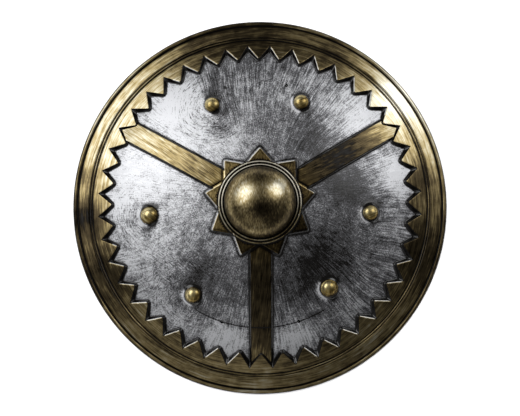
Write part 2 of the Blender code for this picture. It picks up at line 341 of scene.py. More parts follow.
class Relief:
    """Form and paint of one side of the shell, at a depth below its painted surface."""

    def __init__(self, shield_radius, boss_height, depth):
        self.depth = depth
        self.boss_height = boss_height
        self.shield_radius = shield_radius
        self.mitre = depth * math.tan(math.atan(RELIEF_SLOPE) / 2)
        self.notch_radius = shield_radius - NOTCH_FROM_EDGE
        self.band_from = self.notch_radius - BAND_WIDTH
        self.teeth = Zigzag(TOOTH_COUNT, math.radians(270), self.notch_radius - TOOTH_LENGTH,
                            self.notch_radius, TOOTH_ROUNDING)
        self.star = Zigzag(STAR_POINTS, math.radians(90), STAR_TIP_RADIUS, STAR_VALLEY_RADIUS,
                           STAR_ROUNDING)
        self.spring = FIELD_EDGE_HEIGHT - math.sqrt(DOME_RADIUS ** 2 - self.notch_radius ** 2)
        self.stud_middles = [polar(distance * MM, bearing).xy for distance, bearing in STUD_PLACES]
        self.silver_patches_and_light = laid_out(SILVER_PATCHES_AND_LIGHT)
        self.gold_patches_and_light = laid_out(GOLD_PATCHES_AND_LIGHT)
        self.scrubbed_patches = laid_out(SCRUBBED_PATCHES)
        self.spokes = []
        for bearing, beside in SPOKES:
            turn = math.radians(bearing)
            self.spokes.append((Vector((math.cos(turn), math.sin(turn))),
                                Vector((-math.sin(turn), math.cos(turn))), beside))

    def field(self, radius):
        return self.spring + math.sqrt((DOME_RADIUS - self.depth) ** 2 - radius ** 2)

    def flange(self, radius):
        outer = self.shield_radius - FLANGE_OUTER[0]
        point = self.notch_radius - TOOTH_LENGTH
        share = (outer - radius) / (outer - point)
        return FLANGE_OUTER[1] + share * (POINT_HEIGHT - FLANGE_OUTER[1]) - self.depth

    def off_teeth(self, radius, bearing):
        return self.teeth.distance(radius, unstrayed(bearing)) + self.mitre

    def off_star(self, radius, bearing):
        return self.star.distance(radius, bearing) + self.mitre

    def off_spokes(self, flat):
        gaps = [abs(across.dot(flat) - beside) - SPOKE_TOP_WIDTH / 2
                for along, across, beside in self.spokes if along.dot(flat) > 0]
        return min(gaps) + self.mitre if gaps else 1.0

    def plateau(self, top, distance, blend=TOP_EDGE_BLEND):
        """A flat top whose side falls away from its edge."""
        return smooth_min(top, top - RELIEF_SLOPE * distance, blend)

    def height(self, flat):
        radius, bearing = from_centre(flat)
        field = self.field(radius)
        height = field - self.crease(radius, bearing)
        if radius > BOSS_RADIUS / 2:
            spoke = self.plateau(field + SPOKE_RISE, self.off_spokes(flat))
            height = smooth_max(height, spoke, FOOT_BLEND)
        if radius > self.band_from:
            band = self.plateau(self.flange(radius), self.off_teeth(radius, bearing))
            height = smooth_max(height, band, FOOT_BLEND)
        if radius < STAR_WITHIN:
            plate = self.field(max(radius, BOSS_RADIUS)) + STAR_RISE
            star = self.plateau(plate, self.off_star(radius, bearing), STAR_EDGE_BLEND)
            height = smooth_max(height, star, FOOT_BLEND)
        if radius < BOSS_RADIUS + BOSS_RINGS[1][0] + 2 * BOSS_RING_HALF_WIDTH:
            height = max(height, self.boss(radius))
        return height

    def boss(self, radius):
        """Height of the boss and its rings, and minus infinity beside them."""
        plate = self.field(BOSS_RADIUS) + STAR_RISE
        edge = BOSS_RADIUS - self.depth
        height = -math.inf
        if radius < edge:
            height = plate + self.boss_height * math.sqrt(1 - (radius / edge) ** 2)
        if not self.depth:
            if radius < BOSS_RADIUS + BOSS_RINGS[1][0]:
                height = max(height, plate + BOSS_RING_GROOVE)
            for distance, crest in BOSS_RINGS:
                off = (radius - BOSS_RADIUS - distance) / BOSS_RING_HALF_WIDTH
                if abs(off) < 1:
                    height = max(height, plate + crest * (1 - off * off))
        return height

    def nearest_stud(self, flat):
        """Place beside the nearest stud, reach of its gold, and its share of turned strokes."""
        studs = zip(self.stud_middles, STUD_GOLD, STUD_SWIRLS)
        return min(((flat - middle, gold * MM, swirl) for middle, gold, swirl in studs),
                   key=lambda stud: stud[0].length)

    def round_stud(self, flat):
        """Place beside the nearest stud, and how much the brush strokes turn round it there."""
        off, _, swirl = self.nearest_stud(flat)
        side = smooth_step(-0.5, 0.6, math.cos(math.atan2(off.y, off.x) - STUD_SWIRL_SIDE))
        return off.x, off.y, swirl * side * (1 - smooth_step(*STUD_SWIRL_FADE, off.length))

    def is_gold(self, flat):
        radius, bearing = from_centre(flat)
        stud, gold, _ = self.nearest_stud(flat)
        if radius < RINGS_GOLD or stud.length < gold + STUD_GOLD_PAST:
            return True
        off_teeth = self.off_teeth(radius, bearing) if radius > self.band_from else 1.0
        off_outlines = min(off_teeth, self.off_star(radius, bearing), self.off_spokes(flat))
        return off_outlines < GOLD_PAST

    def painted_glint_side(self, bearing):
        """1 along the side of each tooth that has a painted glint on its edge, 0 elsewhere."""
        pitch = 2 * self.teeth.half_pitch
        share = (unstrayed(bearing) - self.teeth.first_bearing) % pitch / pitch
        degrees = math.degrees(bearing) % 360
        for start, end, side in TOOTH_GLINT_SIDES:
            if start < degrees < end:
                along = share if side > 0 else 1 - share
                return smooth_step(0.0, 0.06, along) * (1 - smooth_step(0.44, 0.5, along))
        return 0.0

    def stud_brush_and_light(self, flat):
        """Stud foot: dark ring, painted shade away from the lamps, painted highlight crescents."""
        stud, gold, _ = self.nearest_stud(flat)
        turn = math.atan2(stud.y, stud.x)
        left, right = (math.cos(turn - side) for side in STUD_HIGHLIGHT_SIDES)
        # How much a place faces the lamps, for the painted highlights and painted shade below
        lit = max(smooth_step(0.1, 0.8, left), 0.6 * smooth_step(0.6, 0.95, right))
        ring, dim, crescent = (soft_line(stud.length - gold - past, half_width)
                               for past, half_width in STUD_FOOT_LINES)
        return max(ring * (0.95 - 0.7 * lit), 0.6 * (1 - lit) * dim), lit * crescent

    def star_brush_and_light(self, radius, bearing, on_spoke):
        """Marks of the star's outline and the rings, with painted highlights and painted shade."""
        off_star = self.off_star(radius, bearing)
        near_foot = 1 - smooth_step(3.2 * MM, 7 * MM, off_star)
        recess_and_shade = 0.45 * smooth_step(2.6 * MM, 3.2 * MM, off_star) * near_foot
        recess_and_shade = max(recess_and_shade, 0.3 * soft_line(off_star + 1.4 * MM, 0.6 * MM))
        # Sides facing the lamp get painted highlights, and the others painted shade
        lit = smooth_step(-0.6, 0.6, math.cos(self.star.facing(bearing) - STAR_HIGHLIGHT_SIDE))
        side = smooth_step(-0.6 * MM, 0.0, off_star)
        side *= 1 - smooth_step(0.5 * MM, 1.1 * MM, off_star)
        edge = lit * side * (0.5 if on_spoke else 1.0)
        dim_side = smooth_step(-0.2 * MM, 0.4 * MM, off_star) * near_foot
        recess_and_shade = max(recess_and_shade, 0.45 * (1 - lit) * dim_side)
        # Painted highlights on the ring crests, dimmer below, away from the lamps
        lit = 0.36 + 0.5 * smooth_step(-0.7, 0.4, math.sin(bearing))
        for distance, _ in BOSS_RINGS:
            off = radius - BOSS_RADIUS - distance
            edge = max(edge, lit * soft_line(off, 0.9 * MM))
            recess_and_shade = max(recess_and_shade, soft_line(abs(off) - BOSS_RING_HALF_WIDTH, 0.9 * MM))
        return recess_and_shade, edge

    def brushed(self, flat):
        """Darkness where the brush missed and painted shade, and painted highlight, from 0 to 1."""
        radius, bearing = from_centre(flat)
        off_spokes, off_star = self.off_spokes(flat), self.off_star(radius, bearing)
        recess_and_shade, edge = self.stud_brush_and_light(flat)
        # Sides of the relief: distance out from the top edge, rise, and share missed at the foot
        sides = [(off_spokes, SPOKE_RISE, 0.75)] if off_star > 0 else []
        if radius > self.band_from:
            off_teeth = self.off_teeth(radius, bearing)
            ground = self.field(radius) + (SPOKE_RISE if off_spokes < 0 else 0.0)
            sides = sides if off_teeth > 0 else []
            sides.append((off_teeth, self.flange(radius) - ground, 1.0))
            for from_edge, half_width, share in RIM_DARK_LINES:
                off = self.shield_radius - from_edge * MM - radius
                recess_and_shade = max(recess_and_shade, share * soft_line(off, half_width * MM))
        for off, rise, share in sides:
            foot = max(rise, 1 * MM) / (RELIEF_SLOPE + 0.3)
            fringe = 3 * MM if off_spokes > 0 else 1 * MM
            past_foot = 1 - smooth_step(foot, foot + fringe, off)
            recess_and_shade = max(recess_and_shade, share * smooth_step(-0.2 * MM, 0.3 * MM, off) * past_foot)
        if radius > self.band_from:
            # Painted glints along the top edges of the teeth, which clear the dark there
            glint = self.painted_glint_side(bearing) * soft_line(off_teeth - 0.5 * MM, 0.7 * MM)
            edge, recess_and_shade = max(edge, glint), recess_and_shade * (1 - glint)
        if radius < STAR_WITHIN:
            star_recess_and_shade, star_highlight = self.star_brush_and_light(radius, bearing, off_spokes <= 0)
            recess_and_shade, edge = max(recess_and_shade, star_recess_and_shade), max(edge, star_highlight)
        # Painted shade along the crease
        recess_and_shade = max(recess_and_shade, 0.8 * self.crease(radius, bearing) / CREASE_DEPTH)
        return recess_and_shade, edge

    def cover(self, flat, in_gold):
        """How thickly the paint covers a place, with painted light and shade worked in."""
        if not in_gold:
            return SILVER_COVER + spread(self.silver_patches_and_light, flat)
        stud, gold, _ = self.nearest_stud(flat)
        if stud.length < gold + 1 * MM:
            # Painted light: lighter on the upper left, toward the lamp
            return STUD_COVER + STUD_PAINTED_LIGHT * (stud.y - stud.x) / gold
        return GOLD_COVER + spread(self.gold_patches_and_light, flat)

    def warm(self, flat):
        """How much more golden the paint is than on the band: most of all on the studs."""
        stud, gold, _ = self.nearest_stud(flat)
        if stud.length < gold + 1 * MM:
            return STUD_WARMTH
        return STAR_WARMTH if STAR_WARM_SPAN[0] < flat.length < STAR_WARM_SPAN[1] else 0.0

    def grain(self, flat):
        """Where a place lies across the brush strokes of the gold, and along them in two parts."""
        radius, bearing = from_centre(flat)
        if radius > self.band_from and self.off_teeth(radius, bearing) < 1 * MM:
            turn = flat.normalized() * self.shield_radius
            return radius, turn.x, turn.y
        if radius < BOSS_RADIUS or self.off_star(radius, bearing) < 1 * MM:
            return BOSS_FINER * flat.x, BOSS_SHORTER * flat.y, 0.0
        across = [(abs(side.dot(flat) - beside), side.dot(flat), number)
                  for number, (along, side, beside) in enumerate(self.spokes) if along.dot(flat) > 0]
        _, off, number = min(across, default=(0, flat.x, 3))
        return off + SPOKE_SLANT * radius, SPOKE_SHORTER * radius, number

    def crease(self, radius, bearing):
        """Depth of the crease, which the bare side doesn't have."""
        if self.depth:
            return 0.0
        degrees = math.degrees(bearing) % 360
        fade = smooth_step(CREASE_SPAN[0], CREASE_SPAN[0] + 4, degrees)
        fade *= 1 - smooth_step(CREASE_SPAN[1] - 4, CREASE_SPAN[1], degrees)
        off = (radius - STRAP_HOLE_CIRCLE) / CREASE_HALF_WIDTH
        return CREASE_DEPTH * fade * math.exp(-off * off)


def extruded(bm, ring):
    """Extrude a closed ring of edges and give the new ring."""
    geom = bmesh.ops.extrude_edge_only(bm, edges=ring)["geom"]
    fresh = {item for item in geom if isinstance(item, bmesh.types.BMVert)}
    return [item for item in geom
            if isinstance(item, bmesh.types.BMEdge) and fresh.issuperset(item.verts)]


def corners(ring):
    return list({vert for edge in ring for vert in edge.verts})


def new_ring(bm, bearings):
    """A flat ring of edges whose corners lie on the given bearings, at radius 1."""
    made = bmesh.ops.create_circle(bm, segments=len(bearings), radius=1.0)["verts"]
    made.sort(key=lambda vert: math.atan2(vert.co.y, vert.co.x))
    for vert, bearing in zip(made, bearings):
        vert.co = (math.cos(bearing), math.sin(bearing), 0)
    return list({edge for vert in made for edge in vert.link_edges})


def place_ring(ring, radius_at, height=0.0):
    for vert in corners(ring):
        bearing = math.atan2(vert.co.y, vert.co.x)
        radius = radius_at(bearing)
        vert.co = (radius * math.cos(bearing), radius * math.sin(bearing), height)


def draw_in(bm, ring, radius_at, height=0.0):
    """Extrude a ring of edges and move the new ring to its place."""
    grown = extruded(bm, ring)
    place_ring(grown, radius_at, height)
    return grown


def tooth_bearings(steps):
    """Bearings of a ring that has corners at every point and notch, closer near the points."""
    pitch = math.tau / TOOTH_COUNT
    half = [0.5 * (step / steps) ** TOOTH_CROWDING for step in range(steps + 1)]
    shares = half + [1 - share for share in reversed(half[1:-1])]
    even = [math.radians(270) + pitch * (tooth + share)
            for tooth in range(TOOTH_COUNT) for share in shares]
    return [bearing + stray(bearing) for bearing in even]


def band_loops(bm, relief, mesh, inner_radius):
    """The flange, tooth sides and the field up to a plain circle; gives both border rings."""
    outer = relief.shield_radius - FLANGE_OUTER[0]
    first = ring = new_ring(bm, tooth_bearings(mesh.tooth_steps))
    place_ring(ring, lambda bearing: outer)

    def edge_radius(bearing, offset=0.0):
        return relief.teeth.radius(unstrayed(bearing), offset * MM - relief.mitre)

    # The shares are parts of the way from the teeth out to the border, and then in to the circle
    for share in (0.95, 0.5, 0.2, 0.08, 0.03):
        ring = draw_in(bm, ring, lambda bearing: edge_radius(bearing) * (1 - share) + outer * share)
    for offset in mesh.tooth_offsets:
        ring = draw_in(bm, ring, lambda bearing: edge_radius(bearing, offset))
    for share in (0.4, 0.75, 1.0):
        ring = draw_in(bm, ring, lambda bearing: inner_radius * share
                       + edge_radius(bearing, mesh.tooth_offsets[-1]) * (1 - share))
    return first, ring


def even_bearings(count):
    return [math.tau * step / count for step in range(count)]


def middle_loops(bm, relief, mesh, outer_radius):
    """The field inside the band, the star, the rings and the boss, closed at the pole."""
    star_outer = STAR_TIP_RADIUS + 16 * MM
    first = ring = new_ring(bm, even_bearings(mesh.field_sides))
    place_ring(ring, lambda bearing: outer_radius)
    rows = round((outer_radius - star_outer) / mesh.field_step)
    radii = [outer_radius + (star_outer - outer_radius) * row / rows for row in range(1, rows + 1)]
    if not relief.depth:
        # Five loops follow the section of the crease, and none lies close beside them
        radii += [STRAP_HOLE_CIRCLE + CREASE_HALF_WIDTH * share
                  for share in (-1.5, -0.75, 0, 0.75, 1.5)]
        radii = [radius for radius in radii
                 if abs(radius - STRAP_HOLE_CIRCLE) <= 1.6 * CREASE_HALF_WIDTH
                 or abs(radius - STRAP_HOLE_CIRCLE) > mesh.field_step / 3]
    for radius in sorted(radii, reverse=True):
        ring = draw_in(bm, ring, lambda bearing: radius)
    # The star's loops stop short of the rings, at least 0.25 mm apart
    inner = BOSS_RADIUS + BOSS_RINGS[1][0] + BOSS_RING_HALF_WIDTH + 0.4 * MM
    for number, offset in enumerate(mesh.star_offsets):
        floor = inner + (len(mesh.star_offsets) - 1 - number) * 0.25 * MM
        ring = draw_in(bm, ring, lambda bearing: max(
            relief.star.radius(bearing, offset * MM - relief.mitre), floor))
    steps = mesh.ring_steps
    for centre in [BOSS_RADIUS + distance for distance, _ in reversed(BOSS_RINGS)]:
        for step in range(-steps, steps + 1):
            radius = centre - BOSS_RING_HALF_WIDTH * step / steps
            ring = draw_in(bm, ring, lambda bearing: radius)
    edge = BOSS_RADIUS - relief.depth
    for step in range(mesh.boss_steps):
        radius = edge * math.cos(0.5 * math.pi * (step + 0.02) / mesh.boss_steps)
        ring = draw_in(bm, ring, lambda bearing: radius)
    bmesh.ops.pointmerge(bm, verts=corners(extruded(bm, ring)), merge_co=Vector((0, 0, 0)))
    return first


def cut_along_spokes(bm, relief, offsets):
    """Cut the flat sheet along both sides of each spoke, where its section turns."""
    reach = relief.shield_radius - FLANGE_OUTER[0] - 1 * MM
    for along, across, beside in relief.spokes:
        near = [face for face in bm.faces
                if along.dot(face.calc_center_median().xy) > BOSS_RADIUS
                and abs(across.dot(face.calc_center_median().xy) - beside) < SPOKE_TOP_WIDTH
                and all(vert.co.xy.length < reach for vert in face.verts)]
        geom = list({item for face in near for item in (*face.verts, *face.edges, face)})
        for side in (-1, 1):
            for offset in offsets:
                off_line = beside + side * (SPOKE_TOP_WIDTH / 2 + offset * MM - relief.mitre)
                geom = bmesh.ops.bisect_plane(bm, geom=geom, dist=0.02 * MM,
                                              plane_co=(across * off_line).to_3d(),
                                              plane_no=across.to_3d())["geom"]


def open_round(bm, centre, clear_radius, sides, rings):
    """Clear the faces round a centre and bridge what is left to a new ring there.

    Rings gives the radius and height of each further ring; the last one is returned.
    """
    gone = [face for face in bm.faces
            if (face.calc_center_median().xy - centre.xy).length < clear_radius]
    gone_faces = set(gone)
    border = {edge for face in gone for edge in face.edges
              if sum(1 for other in edge.link_faces if other in gone_faces) == 1}
    bmesh.ops.delete(bm, geom=gone, context="FACES")
    ring = new_ring(bm, even_bearings(sides))
    directions = {vert: vert.co.xy for vert in corners(ring)}

    def settle(edges, reach, height_at):
        for vert in corners(edges):
            flat = centre.xy + directions[vert] * reach
            vert.co = (flat.x, flat.y, height_at(flat))

    settle(ring, *rings[0])
    bmesh.ops.bridge_loops(bm, edges=[edge for edge in border if edge.is_valid] + ring)
    for reach, height_at in rings[1:]:
        before = {vert: directions[vert] for vert in corners(ring)}
        ring = extruded(bm, ring)
        for vert in corners(ring):
            directions[vert] = next(before[edge.other_vert(vert)] for edge in vert.link_edges
                                    if edge.other_vert(vert) in before)
        settle(ring, reach, height_at)
    return ring


def polar(distance, bearing_degrees):
    bearing = math.radians(bearing_degrees)
    return Vector((distance * math.cos(bearing), distance * math.sin(bearing), 0))


def add_studs(bm, relief, mesh):
    """Raise the studs, whose feet follow the dome and whose tops follow it less and less."""
    for distance, bearing in STUD_PLACES:
        centre = polar(distance * MM, bearing)
        middle = relief.field(centre.length)

        def ring_height(rise, lean):
            return lambda flat: middle + lean * (relief.field(flat.length) - middle) + rise

        rings = []
        for reach, rise in mesh.stud_section:
            lean = 1.0 - 0.5 * min(rise / STUD_NECK_RISE, 1.0)
            lean *= (reach / mesh.stud_section[0][0]) ** 0.5
            narrow = relief.mitre if rise < 1 else relief.depth
            rings.append((reach * MM - narrow, ring_height(rise * MM, lean)))
        ring = open_round(bm, centre, STUD_CLEAR_RADIUS, mesh.stud_sides, rings)
        top = Vector((centre.x, centre.y, middle + STUD_TOP))
        bmesh.ops.pointmerge(bm, verts=corners(extruded(bm, ring)), merge_co=top)


def open_strap_holes(bm, relief):
    """Open the strap holes and give the ring at each."""
    rounding = 0.0 if relief.depth else STRAP_HOLE_ROUNDING
    section = ((STRAP_HOLE_RADIUS + 2 * rounding + STRAP_HOLE_RIM, relief.height),
               (STRAP_HOLE_RADIUS + rounding, relief.height),
               (STRAP_HOLE_RADIUS, lambda flat: relief.height(flat) - rounding))
    middles = [polar(STRAP_HOLE_CIRCLE, bearing) for bearing in STRAP_HOLE_BEARINGS]
    return [open_round(bm, middle, STRAP_HOLE_CLEAR_RADIUS, HOLE_SIDES, section)
            for middle in middles]


def sheet(bm, relief, mesh):
    """One side of the shell inside the rim, raised to its height; gives its outer border."""
    inner_radius = relief.notch_radius - ROUND_FROM_NOTCH
    band_outer, band_inner = band_loops(bm, relief, mesh, inner_radius)
    middle_outer = middle_loops(bm, relief, mesh, inner_radius - ROUND_GAP)
    bmesh.ops.bridge_loops(bm, edges=band_inner + middle_outer)
    cut_along_spokes(bm, relief, mesh.spoke_offsets)
    for vert in bm.verts:
        vert.co.z = relief.height(vert.co.xy)
    return band_outer


def bridge_rim(bm, relief, band_outer, section):
    """The rim, from its foot in to the flange; gives the ring at the foot."""
    foot = ring = new_ring(bm, even_bearings(RIM_SIDES))
    place_ring(ring, lambda bearing: relief.shield_radius - section[0][0] * MM, section[0][1] * MM)
    for from_edge, height in section[1:]:
        ring = draw_in(bm, ring, lambda bearing: relief.shield_radius - from_edge * MM, height * MM)
    bmesh.ops.bridge_loops(bm, edges=ring + band_outer)
    return foot


def side_of_shell(bm, relief, mesh):
    """One side of the shell; gives its border at the foot of the rim and at each strap hole."""
    band_outer = sheet(bm, relief, mesh)
    foot = bridge_rim(bm, relief, band_outer, mesh.rim_section)
    add_studs(bm, relief, mesh)
    return foot, open_strap_holes(bm, relief)


def mark_paint(bm, relief):
    """Sort the faces by paint and note at each corner what the paints' nodes read there."""
    floats, vectors = bm.verts.layers.float, bm.verts.layers.float_vector
    # edge holds painted highlights only; the recess mark holds missed brushing and painted shade
    recess_and_shade, edge = floats.new("recess_and_shade"), floats.new("edge")
    silver_cover_and_light, gold_cover_and_light = floats.new("silver_cover_and_light"), floats.new("gold_cover_and_light")
    scrubbed, warm = floats.new("scrubbed"), floats.new("warm")
    grain, round_stud = vectors.new("grain"), vectors.new("round_stud")
    for vert in bm.verts:
        flat = vert.co.xy
        vert[recess_and_shade], vert[edge] = relief.brushed(flat)
        vert[silver_cover_and_light], vert[gold_cover_and_light] = relief.cover(flat, False), relief.cover(flat, True)
        vert[scrubbed] = spread(relief.scrubbed_patches, flat)
        vert[warm] = relief.warm(flat)
        vert[grain] = relief.grain(flat)
        vert[round_stud] = relief.round_stud(flat)
    for face in bm.faces:
        face.material_index = GOLD if relief.is_gold(face.calc_center_median().xy) else SILVER
        face.smooth = True


def linked(name, data):
    thing = bpy.data.objects.new(name, data)
    bpy.context.scene.collection.objects.link(thing)
    return thing


def mesh_object(name, bm, materials):
    mesh = bpy.data.meshes.new(name)
    bm.to_mesh(mesh)
    bm.free()
    for material in materials:
        mesh.materials.append(material)
    return linked(name, mesh)


def moulded_shell(sizes, materials):
    """Both sides of the shell, joined to one closed skin in three materials."""
    painted = Relief(sizes.shield_radius, sizes.boss_height, 0.0)
    bare = Relief(sizes.shield_radius, sizes.boss_height, WALL)
    front, back = bmesh.new(), bmesh.new()
    foot, holes = side_of_shell(front, painted, PAINTED_MESH)
    draw_in(front, foot, lambda bearing: sizes.shield_radius - WALL)
    for hole in holes:
        for vert in corners(extruded(front, hole)):
            vert.co.z = bare.height(vert.co.xy)
    mark_paint(front, painted)
    side_of_shell(back, bare, BARE_MESH)
    for face in back.faces:
        face.material_index = BARE
        face.smooth = True
    behind = bpy.data.meshes.new("bare_side")
    back.to_mesh(behind)
    back.free()
    front.from_mesh(behind)
    bpy.data.meshes.remove(behind)
    borders = [vert for vert in front.verts if vert.is_boundary]
    bmesh.ops.remove_doubles(front, verts=borders, dist=0.01 * MM)
    bmesh.ops.dissolve_degenerate(front, dist=0.01 * MM, edges=front.edges)
    bmesh.ops.triangulate(front, faces=front.faces)
    bmesh.ops.recalc_face_normals(front, faces=front.faces)
    return mesh_object("moulded_shell", front, materials)


def add(tree, kind, inputs=(), out=0, **settings):
    """Add a shader node and give one of its outputs; inputs are values or other outputs."""
    node = tree.nodes.new("ShaderNode" + kind)
    for name, value in settings.items():
        setattr(node, name, value)
    for place, value in dict(inputs).items():
        if isinstance(value, bpy.types.NodeSocket):
            tree.links.new(value, node.inputs[place])
        else:
            node.inputs[place].default_value = value
    return node.outputs[out]


def new_material(name):
    material = bpy.data.materials.new(name)
    material.use_nodes = True
    return material, material.node_tree, material.node_tree.nodes["Principled BSDF"]


def round_and_out(tree, flat):
    """Cosine, sine and distance of a flat place, for strokes round a middle or out from it."""
    turn = add(tree, "VectorMath", {0: flat}, operation="NORMALIZE")
    distance = add(tree, "VectorMath", {0: flat}, out="Value", operation="LENGTH")
    away = add(tree, "CombineXYZ", {2: distance})
    return add(tree, "VectorMath", {0: turn, 1: away}, operation="ADD")


def per_metre(*sizes):
    """How many of each size in millimetres go into a metre."""
    return tuple(1 / (size * MM) for size in sizes)


def cloudy(tree, place, stretch, detail, roughness=0.5):
    """An uneven pattern that has, along each axis of place, stretch clouds to the metre."""
    stretched = add(tree, "VectorMath", {0: place, 1: stretch}, operation="MULTIPLY")
    return add(tree, "TexNoise",
               {"Vector": stretched, "Scale": 1.0, "Detail": detail, "Roughness": roughness})


def weighed(tree, terms, start):
    """Sum of start and of each value less its middle, times its weight."""
    total = start
    for value, middle, weight in terms:
        off = add(tree, "Math", {0: value, 1: weight, 2: -middle * weight},
                  operation="MULTIPLY_ADD")
        total = add(tree, "Math", {0: total, 1: off}, operation="ADD")
    return total


def thickness(tree, marks, cover_name, recess_and_shade_weight):
    """Thickness: cover and marks, thick on painted highlights, thin in recesses and painted shade."""
    for name, weight in (("edge", 0.8), ("recess_and_shade", recess_and_shade_weight)):
        mark = add(tree, "Attribute", out="Fac", attribute_name=name)
        marks = [*marks, (mark, 0.0, weight)]
    cover = add(tree, "Attribute", out="Fac", attribute_name=cover_name)
    return weighed(tree, marks, cover)


def painted_over_black(tree, shader, amount, streaks, stops, metallic_from, roughness):
    """Dress the plastic in a paint whose thickness is amount, and give it its gloss and grain."""
    ramp = add(tree, "ValToRGB", {0: amount}).node
    while len(ramp.color_ramp.elements) < len(stops):
        ramp.color_ramp.elements.new(0.5)
    for element, (place, tint) in zip(ramp.color_ramp.elements, stops):
        element.position = place
        element.color = tint
    tree.links.new(ramp.outputs[0], shader.inputs["Base Color"])
    metal = add(tree, "MapRange", {0: amount, 1: metallic_from, 2: metallic_from + 0.3})
    # Where the edge mark paints highlights, the paint is made less metallic so they show pale
    edge = add(tree, "Attribute", out="Fac", attribute_name="edge")
    metal = weighed(tree, [(edge, 0.0, -0.7)], metal)
    tree.links.new(metal, shader.inputs["Metallic"])
    # The bare black shows glossier than the paint
    rough = add(tree, "MapRange", {0: amount, 1: -0.4, 2: 0.4, 3: 0.17, 4: roughness})
    rough = weighed(tree, [(streaks, 0.5, 0.15)], rough)
    tree.links.new(rough, shader.inputs["Roughness"])
    bump = add(tree, "Bump", {"Height": streaks, "Distance": 0.05 * MM})
    tree.links.new(bump, shader.inputs["Normal"])


def antique_gold(paints):
    """Metallic gold dry-brushed over black: warm brown where thin, cream on painted highlights."""
    material, tree, shader = new_material("antique_gold_paint")
    grain = add(tree, "Attribute", out="Vector", attribute_name="grain")
    place = add(tree, "TexCoord", out="Object")
    # Hairs 1 mm apart in strokes 30 mm long, tufts 4 mm apart, and cloudy wear 14 mm across
    hairs = cloudy(tree, grain, per_metre(1, 30, 30), 3.0)
    tufts = cloudy(tree, grain, per_metre(4, 50, 50), 2.0)
    clouds = cloudy(tree, place, per_metre(14, 14, 14), 4.0, 0.6)
    marks = [(hairs, 0.5, 0.75), (tufts, 0.5, 0.45), (clouds, 0.5, 0.4)]
    amount = thickness(tree, marks, "gold_cover_and_light", recess_and_shade_weight=-1.2)
    stops = ((0.0, (*paints.black, 1)), (0.35, (*paints.gold_thin, 1)), (0.56, (*paints.gold, 1)),
             (0.70, (*paints.gold_thick, 1)), (1.0, (*paints.gold_worn_and_highlight, 1)))
    painted_over_black(tree, shader, amount, hairs, stops, metallic_from=-0.25, roughness=0.36)
    # The paint is more golden on the studs and round the star
    warm = add(tree, "Attribute", out="Fac", attribute_name="warm")
    paint_colour = shader.inputs["Base Color"].links[0].from_socket
    warmed = add(tree, "Mix", {0: warm, 6: paint_colour, 7: (*paints.gold_glow, 1)},
                 out=2, data_type="RGBA", blend_type="MULTIPLY")
    tree.links.new(warmed, shader.inputs["Base Color"])
    shader.inputs["Specular IOR Level"].default_value = 0.15
    return material


def brushed_silver(paints):
    """Metallic silver paint dry-brushed over black, out from the star and round the studs."""
    material, tree, shader = new_material("brushed_silver_paint")
    place = add(tree, "TexCoord", out="Object")
    stud = add(tree, "Attribute", out="Vector", attribute_name="round_stud")
    swirled = add(tree, "SeparateXYZ", {0: stud}, out="Z")
    # The hand wavers by a few millimetres over each 125 mm
    waver = add(tree, "TexNoise",
                {"Vector": place, "Scale": per_metre(125)[0], "Detail": 1.0}, out="Color")
    waver = add(tree, "VectorMath", {0: waver, 1: (0.03, 0.03, 0), 2: (-0.015, -0.015, 0)},
                operation="MULTIPLY_ADD")
    flat, stud_flat = (add(tree, "VectorMath", {0: middle, 1: (1, 1, 0), 2: waver},
                           operation="MULTIPLY_ADD") for middle in (place, stud))
    # Strokes out from the star 1.4 mm wide at 154 mm from the centre, and 25 mm long
    stretch = (154 / 1.4, 154 / 1.4, *per_metre(25))
    out_strokes = cloudy(tree, round_and_out(tree, flat), stretch, 4.0, 0.65)
    # Strokes round a stud 10 mm long at 40 mm from its middle, and 1.6 mm wide
    stretch = (40 / 10, 40 / 10, *per_metre(1.6))
    round_strokes = cloudy(tree, round_and_out(tree, stud_flat), stretch, 4.0, 0.65)
    strokes = add(tree, "Mix", {0: swirled, 2: out_strokes, 3: round_strokes})
    # Between the strokes round a stud the brush left arcs bare
    arcs = add(tree, "MapRange", {0: round_strokes, 1: 0.34, 2: 0.44})
    arcs = add(tree, "Mix", {0: swirled, 2: 1.0, 3: arcs})
    # Scrubs 1.6 mm wide and 8 mm long, set one way or square to it over some 30 mm
    aslant = add(tree, "VectorRotate", {"Vector": place, "Angle": 0.6}, rotation_type="Z_AXIS")
    along = cloudy(tree, aslant, (*per_metre(1.6, 8), 0), 3.0, 0.6)
    square = cloudy(tree, aslant, (*per_metre(8, 1.6), 0), 3.0, 0.6)
    turns = cloudy(tree, place, per_metre(30, 30, 30), 1.0)
    turns = add(tree, "MapRange", {0: turns, 1: 0.42, 2: 0.58})
    scrubs = add(tree, "Mix", {0: turns, 2: along, 3: square})
    scrubbed = add(tree, "Attribute", out="Fac", attribute_name="scrubbed")
    strokes = add(tree, "Mix", {0: scrubbed, 2: strokes, 3: scrubs})
    strokes = add(tree, "MapRange", {0: strokes, 1: 0.36, 2: 0.64})
    # Stippling 1.8 mm across, and smudges 16 mm across
    stipple = cloudy(tree, place, per_metre(1.8, 1.8, 1.8), 2.0)
    smudges = cloudy(tree, place, per_metre(16, 16, 16), 4.0, 0.65)
    marks = [(strokes, 0.5, 0.55), (stipple, 0.5, 1.15), (smudges, 0.5, 1.0), (arcs, 1.0, 0.7)]
    amount = thickness(tree, marks, "silver_cover_and_light", recess_and_shade_weight=-1.6)
    stops = ((0.0, (*paints.black, 1)), (0.35, (*paints.silver_thin, 1)),
             (0.85, (*paints.silver, 1)))
    painted_over_black(tree, shader, amount, strokes, stops, metallic_from=0.1, roughness=0.58)
    return material


